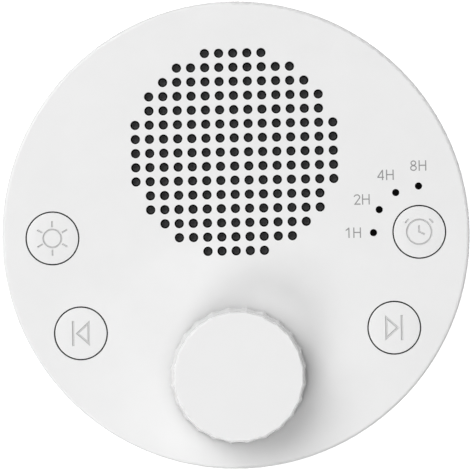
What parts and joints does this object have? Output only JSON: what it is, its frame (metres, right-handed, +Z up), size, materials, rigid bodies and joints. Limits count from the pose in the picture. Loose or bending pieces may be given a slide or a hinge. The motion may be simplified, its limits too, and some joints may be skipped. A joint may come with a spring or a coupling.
{
  "type": "white noise sound machine",
  "caption": "Round tabletop white noise machine: flat perforated speaker face, endless fluted push knob, four flush buttons, timer lights and a night-light band.",
  "frame": {"origin": "centre of the rubber foot's underside, on the table", "axes": "+Z up, out of the round face; +Y towards the speaker grille, away from the listener; +X to the right, towards the timer button"},
  "size_m": [0.11, 0.11, 0.0635],
  "materials": {
    "white_shell": "fine satin texture of injection-moulded ABS",
    "white_base": "fine matt moulded texture",
    "white_cap": "smooth satin moulding",
    "white_knob": "smooth satin moulding with a soft sheen",
    "diffuser": "milky translucent polycarbonate",
    "foot_rubber": "matt soft rubber",
    "speaker_rubber": "soft black rubber",
    "smoked_lens": "smoked light guide with a satin end",
    "black_mesh": "fine woven acoustic mesh",
    "black_foam": "closed-cell foam",
    "cone_paper": "pressed paper pulp",
    "spider_cloth": "resin-treated woven cloth",
    "plated_steel": "zinc plated",
    "black_steel": "black satin powder coat",
    "ferrite": "dark ground ferrite",
    "copper_coil": "enamelled copper winding",
    "black_plastic": "moulded nylon",
    "green_board": "solder-masked glass epoxy",
    "white_board": "white solder-masked glass epoxy",
    "chip_black": "moulded epoxy",
    "capacitor_can": "drawn aluminium can",
    "connector_nylon": "natural nylon",
    "lamp_phosphor": "phosphor over a white package",
    "cell_wrap": "heat-sealed film",
    "pad_foam": "double-sided foam tape"
  },
  "bodies": {
    "drum": {"upper_housing": "white_shell", "light_ring": "diffuser", "base_shell": "white_base", "foot_ring": "foot_rubber", "housing_screws": "plated_steel", "acoustic_mesh": "black_mesh", "speaker_gasket": "black_foam", "speaker_frame": "black_steel", "speaker_screws": "plated_steel", "speaker_top_plate": "plated_steel", "speaker_magnet": "ferrite", "speaker_yoke": "plated_steel", "cone_surround": "speaker_rubber", "cone_spider": "spider_cloth", "switch_bodies": "black_plastic", "timer_lens": "smoked_lens", "timer_lamps": "lamp_phosphor", "encoder_case": "black_plastic", "encoder_bush": "plated_steel", "encoder_washer": "plated_steel", "encoder_nut": "plated_steel", "main_board": "green_board", "board_screws": "plated_steel", "board_chips": "chip_black", "board_capacitors": "capacitor_can", "board_connectors": "connector_nylon", "light_board": "white_board", "night_lamps": "lamp_phosphor", "light_board_screws": "plated_steel", "cell": "cell_wrap", "cell_pad": "pad_foam", "usb_socket": "plated_steel", "usb_board": "green_board", "usb_board_screws": "plated_steel"},
    "light_key": {"light_button": "white_cap", "light_plunger": "black_plastic"},
    "timer_key": {"timer_button": "white_cap", "timer_plunger": "black_plastic"},
    "previous_key": {"previous_button": "white_cap", "previous_plunger": "black_plastic"},
    "next_key": {"next_button": "white_cap", "next_plunger": "black_plastic"},
    "encoder_push": {"encoder_plunger": "black_plastic"},
    "knob_and_shaft": {"knob": "white_knob", "encoder_shaft": "plated_steel"},
    "cone_and_coil": {"speaker_cone": "cone_paper", "dust_cap": "cone_paper", "voice_coil": "copper_coil"}
  },
  "joints": [
    {"name": "light_press", "type": "slide", "parent": "drum", "child": "light_key", "axis": [0, 0, -1], "range_m": [0, 0.0005], "stiffness_N_per_m": 600, "springref_m": -0.0005},
    {"name": "timer_press", "type": "slide", "parent": "drum", "child": "timer_key", "axis": [0, 0, -1], "range_m": [0, 0.0005], "stiffness_N_per_m": 600, "springref_m": -0.0005},
    {"name": "previous_press", "type": "slide", "parent": "drum", "child": "previous_key", "axis": [0, 0, -1], "range_m": [0, 0.0005], "stiffness_N_per_m": 600, "springref_m": -0.0005},
    {"name": "next_press", "type": "slide", "parent": "drum", "child": "next_key", "axis": [0, 0, -1], "range_m": [0, 0.0005], "stiffness_N_per_m": 600, "springref_m": -0.0005},
    {"name": "knob_press", "type": "slide", "parent": "drum", "child": "encoder_push", "axis": [0, 0, -1], "range_m": [0, 0.0005], "stiffness_N_per_m": 2000, "springref_m": -0.0005},
    {"name": "knob_turn", "type": "hinge", "parent": "encoder_push", "child": "knob_and_shaft", "pos_m": [0, -0.0329, 0.0508], "axis": [0, 0, 1], "continuous": true},
    {"name": "cone_stroke", "type": "slide", "parent": "drum", "child": "cone_and_coil", "axis": [0, 0, 1], "range_m": [-0.0008, 0.0008], "stiffness_N_per_m": 1500, "deforming": ["cone_surround", "cone_spider"]}
  ]
}
